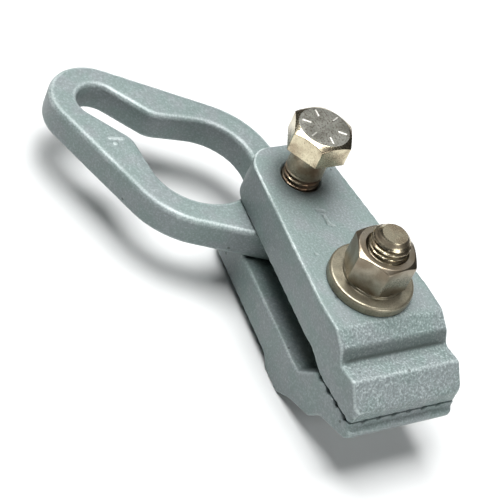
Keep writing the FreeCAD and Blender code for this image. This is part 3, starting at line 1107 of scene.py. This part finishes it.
@dataclass
class BackBolt(Bolt):
    """Jacking bolt: marked hexagon head, plain shank and a thread that runs down into the jaws."""

    marks: Optional[GeometryTree] = None
    face_steel: Optional[bpy.types.Material] = None
    mark_steel: Optional[bpy.types.Material] = None
    shank_steel: Optional[bpy.types.Material] = None
    head_height: float = 8.8 * MM
    thread_top: float = 47.4 * MM
    runout: float = 1.2 * MM
    tip_chamfer: float = 1.7 * MM
    mark_rise: float = 0.30 * MM
    mark_turn_deg: float = -5.0
    mark_middle: float = 6.0 * MM
    mark_length: float = 2.9 * MM
    mark_width: float = 0.9 * MM

    def build(self) -> bpy.types.Object:
        """Make the bolt.

        Returns:
            The finished object.
        """
        low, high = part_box("back_bolt")
        axis_x = (low.x + high.x) / 2
        face = high.z - self.mark_rise
        seat = high.z - self.head_height
        radius = self.thread.crest_radius
        solid = self.head(RingStack(axis_x), face, seat, self.thread_top).mesh("back_bolt_head", self.steel)
        solid.materials.append(self.face_steel)
        solid.materials.append(self.shank_steel)
        self._dress(solid, face, seat)
        tube = self.thread.tube(
            "back_bolt_thread", self.shank_steel, axis_x, low.z, self.thread_top, radius,
            radius - self.tip_chamfer, radius, MM, self.runout)
        bolt = joined("back_bolt_steel", [solid, tube])
        weld(bolt, fill=True)
        bars = self.marks.grow("grade_marks", {
            "Count": 6, "Axis X": axis_x, "Height": face, "Middle Radius": self.mark_middle,
            "Length": self.mark_length, "Width": self.mark_width, "Rise": self.mark_rise,
            "Turn": math.radians(self.mark_turn_deg),
        }, self.mark_steel)
        weld(bars)
        return self.place(joined("back_bolt_steel", [bolt, bars]), "back_bolt", "back_bolt")

    def _dress(self, mesh: bpy.types.Mesh, face: float, seat: float) -> None:
        """Give the stamped end face and the shank their own finishes.

        Args:
            mesh: the head and shank.
            face: height of the head's end face.
            seat: height of the face under the head.
        """
        for polygon in mesh.polygons:
            if polygon.center.z > face - self.hexagon.edge / 10:
                polygon.material_index = 1
            elif polygon.center.z < seat - self.neck_fillet:
                polygon.material_index = 2


@dataclass
class MainBolt(Bolt):
    """Main bolt: its head sits in the lower jaw's pocket, and its thread stands out of the nut."""

    head_height: float = 7.9 * MM
    thread_bottom: float = 30.0 * MM
    runout: float = 2.5 * MM
    tip_fade: float = 0.2 * MM
    tip_chamfer: float = 2.2 * MM
    turn_deg: float = 30.0

    def build(self) -> bpy.types.Object:
        """Make the bolt.

        Returns:
            The finished object.
        """
        low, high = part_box("main_bolt")
        seat = low.z + self.head_height
        radius = self.thread.crest_radius
        stack = self.head(RingStack(0.0, self.turn_deg), low.z, seat, self.thread_bottom)
        tube = self.thread.tube(
            "main_bolt_thread", self.steel, 0.0, self.thread_bottom, high.z, radius,
            radius, radius - self.tip_chamfer, self.runout, self.tip_fade, self.turn_deg)
        bolt = joined("main_bolt_steel", [stack.mesh("main_bolt_head", self.steel), tube])
        weld(bolt, fill=True)
        return self.place(bolt, "lower_assembly", "main_bolt")


@dataclass
class MainNut(Fastener):
    """Hexagonal nut, chamfered at both ends, with a threaded bore."""

    turn_deg: float = 5.0
    countersink: float = 0.75 * MM
    runout: float = 0.5 * MM

    def build(self) -> bpy.types.Object:
        """Make the nut.

        Returns:
            The finished object.
        """
        low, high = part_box("main_nut")
        bore = self.thread.crest_radius + self.thread.bore_gap
        mouth = bore + self.countersink
        stack = RingStack(0.0, self.turn_deg)
        stack.add(bore, high.z - self.countersink)
        stack.add(mouth, high.z)
        self.hexagon.chamfered_end(stack, high.z, -1.0, mouth, True)
        self.hexagon.chamfered_end(stack, low.z, 1.0, mouth, False)
        stack.add(mouth, low.z)
        stack.add(bore, low.z + self.countersink)
        solid = stack.mesh("main_nut_outside", self.steel)
        tube = self.thread.tube(
            "main_nut_bore", self.steel, 0.0, low.z + self.countersink, high.z - self.countersink, bore,
            bore, bore, self.runout, self.runout, self.turn_deg)
        nut = joined("main_nut_steel", [solid, tube])
        weld(nut)
        return self.place(nut, "main_nut", "main_nut")


@dataclass
class MainWasher(Fastener):
    """Hardened washer with a rounded rim and a boss under the nut."""

    hole_radius: float = 7.2 * MM
    hole_round: float = 0.3 * MM
    rim: float = 3.4 * MM
    rim_round: float = 1.1 * MM
    foot_round: float = 0.5 * MM
    boss_foot: float = 9.75 * MM
    boss_radius: float = 9.6 * MM
    boss_round: float = 0.2 * MM

    def build(self) -> bpy.types.Object:
        """Make the washer.

        Returns:
            The finished object.
        """
        low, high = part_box("main_washer")
        shoulder = low.z + self.rim
        hole_low, hole_high = (self.hole_radius, low.z), (self.hole_radius, high.z)
        boss_top, boss_foot = (self.boss_radius, high.z), (self.boss_foot, shoulder)
        rim_high, rim_low = (high.x, shoulder), (high.x, low.z)
        corners = (
            (hole_low, self.hole_round, 4), (hole_high, self.hole_round, 4), (boss_top, self.boss_round, 4),
            (boss_foot, self.boss_round, 4), (rim_high, self.rim_round, 8), (rim_low, self.foot_round, 4),
        )
        stack = RingStack()
        for number, (corner, radius, steps) in enumerate(corners):
            after = corners[(number + 1) % len(corners)][0]
            stack.round_edge(corners[number - 1][0], corner, after, radius, steps)
        ring = stack.mesh("main_washer_steel", self.steel, loop=True)
        weld(ring)
        return self.place(ring, "upper_assembly", "main_washer")


# ---------------------------------------------------------------------------------------------
# Studio
# ---------------------------------------------------------------------------------------------

@dataclass
class SoftBox:
    """A square area light aimed at the clamp."""

    name: str
    direction: tuple
    distance: float
    width: float
    power: float
    colour: tuple = (1.0, 1.0, 1.0)

    def build(self, target: Vector) -> None:
        """Hang the light.

        Args:
            target: the point it faces.
        """
        lamp = bpy.data.lights.new(self.name, "AREA")
        lamp.shape = "SQUARE"
        lamp.size = self.width
        lamp.energy = self.power
        lamp.color = self.colour
        holder = bpy.data.objects.new(self.name, lamp)
        holder.location = target + Vector(self.direction).normalized() * self.distance
        holder.rotation_euler = (target - holder.location).to_track_quat("-Z", "Y").to_euler()
        bpy.context.scene.collection.objects.link(holder)


@dataclass
class Studio:
    """Camera, lights, backdrop colour and floor."""

    camera_place: tuple = (0.2715, -0.3313, 0.4326)
    camera_target: tuple = (-0.0197, -0.0332, 0.0434)
    camera_roll_deg: float = 25.71
    lens: float = 134.7
    surround: tuple = (0.62, 0.64, 0.66, 1.0)
    surround_strength: float = 0.04
    floor_size: float = 4.0

    def build(self) -> None:
        """Set the whole studio up."""
        self._camera()
        self._world()
        self._floor()
        middle = (CAD_BOX[0] + CAD_BOX[1]) / 2
        for box in (
            SoftBox("overhead", (-0.22, -0.03, 1.0), distance=1.1, width=0.85, power=26.5),
            SoftBox("back_left", (-0.51, 0.52, 0.68), distance=1.2, width=0.6, power=0.45,
                    colour=(0.95, 0.98, 1.0)),
            SoftBox("front", (1.0, 0.15, 0.55), distance=1.0, width=0.5, power=4.5),
        ):
            box.build(middle)

    def _camera(self) -> None:
        """Stand the camera at its place, with its roll about the line of sight."""
        place = Vector(self.camera_place)
        sight = (Vector(self.camera_target) - place).normalized()
        level = sight.cross(Vector((0, 0, 1))).normalized()
        upright = level.cross(sight)
        roll = math.radians(self.camera_roll_deg)
        right = level * math.cos(roll) + upright * math.sin(roll)
        up = right.cross(sight)
        data = bpy.data.cameras.new("camera")
        data.lens = self.lens
        data.sensor_width = 36.0
        data.clip_start = 0.01
        camera = bpy.data.objects.new("camera", data)
        turn = Matrix((right, up, -sight)).transposed()
        camera.matrix_world = Matrix.Translation(place) @ turn.to_4x4()
        bpy.context.scene.collection.objects.link(camera)
        bpy.context.scene.camera = camera

    def _world(self) -> None:
        """Add even soft light from all round, and show colours as they are."""
        world = bpy.data.worlds.new("soft_surround")
        world.use_nodes = True
        graph = Graph(world.node_tree)
        inputs = {"Color": self.surround, "Strength": self.surround_strength}
        light = graph.value("ShaderNodeBackground", None, inputs)
        graph.node("ShaderNodeOutputWorld", None, {"Surface": light})
        bpy.context.scene.world = world
        bpy.context.scene.view_settings.view_transform = "Standard"

    def _floor(self) -> None:
        """Lay the floor under the clamp's lowest point."""
        half = self.floor_size / 2
        level = CAD_BOX[0].z
        corners = [(-half, -half, level), (half, -half, level), (half, half, level), (-half, half, level)]
        mesh = bpy.data.meshes.new("floor")
        mesh.from_pydata(corners, [], [(0, 1, 2, 3)])
        mesh.materials.append(PaleFloor().build())
        new_object("floor", mesh)


# ---------------------------------------------------------------------------------------------
# The clamp
# ---------------------------------------------------------------------------------------------

@dataclass
class Clamp:
    """The whole clamp, piece by piece."""

    bolt_bore: float = 7.2 * MM
    tapped_bore: float = 6.35 * MM
    eye_bore: float = 6.40 * MM
    tooth_start: float = 12.0 * MM
    tooth_depth: float = 2.1 * MM
    loop_heading_deg: float = 217.5
    steels: dict = field(default_factory=lambda: {
        "plated": PlatedSteel("plated_steel"),
        "stamped": PlatedSteel("stamped_steel", pale=(0.29, 0.29, 0.26, 1.0), brown=(0.15, 0.15, 0.13, 1.0),
                               roughness=0.42, speckle=0.8, relief=0.9),
        "browned": PlatedSteel("browned_steel", pale=(0.36, 0.32, 0.25, 1.0), brown=(0.22, 0.18, 0.13, 1.0),
                               roughness=0.30, speckle=0.12),
        "rubbed": PlatedSteel("rubbed_steel", pale=(0.62, 0.61, 0.56, 1.0), brown=(0.45, 0.44, 0.40, 1.0),
                              roughness=0.50, speckle=0.2),
        "shank": PlatedSteel("shank_steel", pale=(0.50, 0.42, 0.31, 1.0), brown=(0.26, 0.17, 0.11, 1.0),
                             roughness=0.30, speckle=0.2),
        "tanned": PlatedSteel("tanned_steel", pale=(0.31, 0.285, 0.21, 1.0), brown=(0.18, 0.16, 0.115, 1.0),
                              roughness=0.33, speckle=0.3, metallic=0.7),
    })

    def build(self) -> list[bpy.types.Object]:
        """Make every piece.

        Returns:
            The finished objects.
        """
        steel = {name: finish.build() for name, finish in self.steels.items()}
        skin = forging_tree()
        thread = Thread(thread_tree())
        lower_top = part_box("lower_jaw")[1].z
        loop_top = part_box("pull_loop")[1].z
        upper_low, upper_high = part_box("upper_jaw")
        back_low, back_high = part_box("back_bolt")
        back_x = (back_low.x + back_high.x) / 2
        paint = ForgedPaint(shadow_x=back_x, half_width=upper_high.y).build()
        through = (-1.0, 1.0)
        makers: list[Any] = [
            Forging("lower_jaw", "lower_assembly", "lower_jaw_forging", skin, paint,
                    tooth_start=self.tooth_start, tooth_low=lower_top - self.tooth_depth, tooth_high=1.0,
                    bores=((0.0, self.bolt_bore, *through), (back_x, self.eye_bore, back_low.z, 1.0))),
            Forging("upper_jaw", "upper_assembly", "upper_jaw_forging", skin, paint,
                    tooth_start=self.tooth_start, tooth_low=-1.0, tooth_high=upper_low.z + self.tooth_depth,
                    bores=((0.0, self.bolt_bore, *through), (back_x, self.tapped_bore, *through)),
                    marks=(Mark.in_mm((-31.0, -2.2), (-30.2, 0.0), 0.42, -0.45),
                           Mark.in_mm((-28.4, -0.8), (-25.0, -1.0), 0.42, -0.45),
                           Mark.in_mm((-25.0, -1.0), (-24.0, 0.4), 0.42, -0.45),
                           Mark.in_mm((-14.1, -11.9), (-14.0, -11.8), 0.40, -0.35)),
                    mark_level=upper_high.z),
            Forging("pull_loop", "pull_loop", "pull_loop_forging", skin, paint,
                    bores=((back_x, self.eye_bore, *through),),
                    marks=self._loop_marks(back_x), mark_level=loop_top),
            BackBolt(thread, steel["plated"], Hexagon(face_inset=0.95 * MM), marks=grade_mark_tree(),
                     face_steel=steel["stamped"], mark_steel=steel["rubbed"], shank_steel=steel["shank"]),
            MainBolt(thread, steel["plated"]),
            MainWasher(thread, steel["tanned"]),
            MainNut(thread, steel["browned"]),
        ]
        return [maker.build() for maker in makers]

    def _loop_marks(self, back_x: float) -> tuple:
        """The raised bar and dot near the loop's tip.

        Args:
            back_x: where the back bolt's axis stands.

        Returns:
            The two marks.
        """
        swing = math.radians(self.loop_heading_deg)
        places = []
        for along, aside in ((60.0, 13.3), (56.6, 10.5), (57.4, 14.3)):
            places.append((back_x / MM + along * math.cos(swing) - aside * math.sin(swing),
                           along * math.sin(swing) + aside * math.cos(swing)))
        bar_start, bar_end, dot = places
        return (Mark.in_mm(bar_start, bar_end, 0.55, 0.25),
                Mark.in_mm(dot, (dot[0] + 0.1, dot[1]), 0.60, 0.25))


def main() -> None:
    """Build the clamp and its studio, and report each piece."""
    logging.basicConfig(level=logging.INFO, format="%(message)s")
    for piece in Clamp().build():
        log.info("built %s", piece.name)
    Studio().build()


if __name__ == "__main__":
    main()
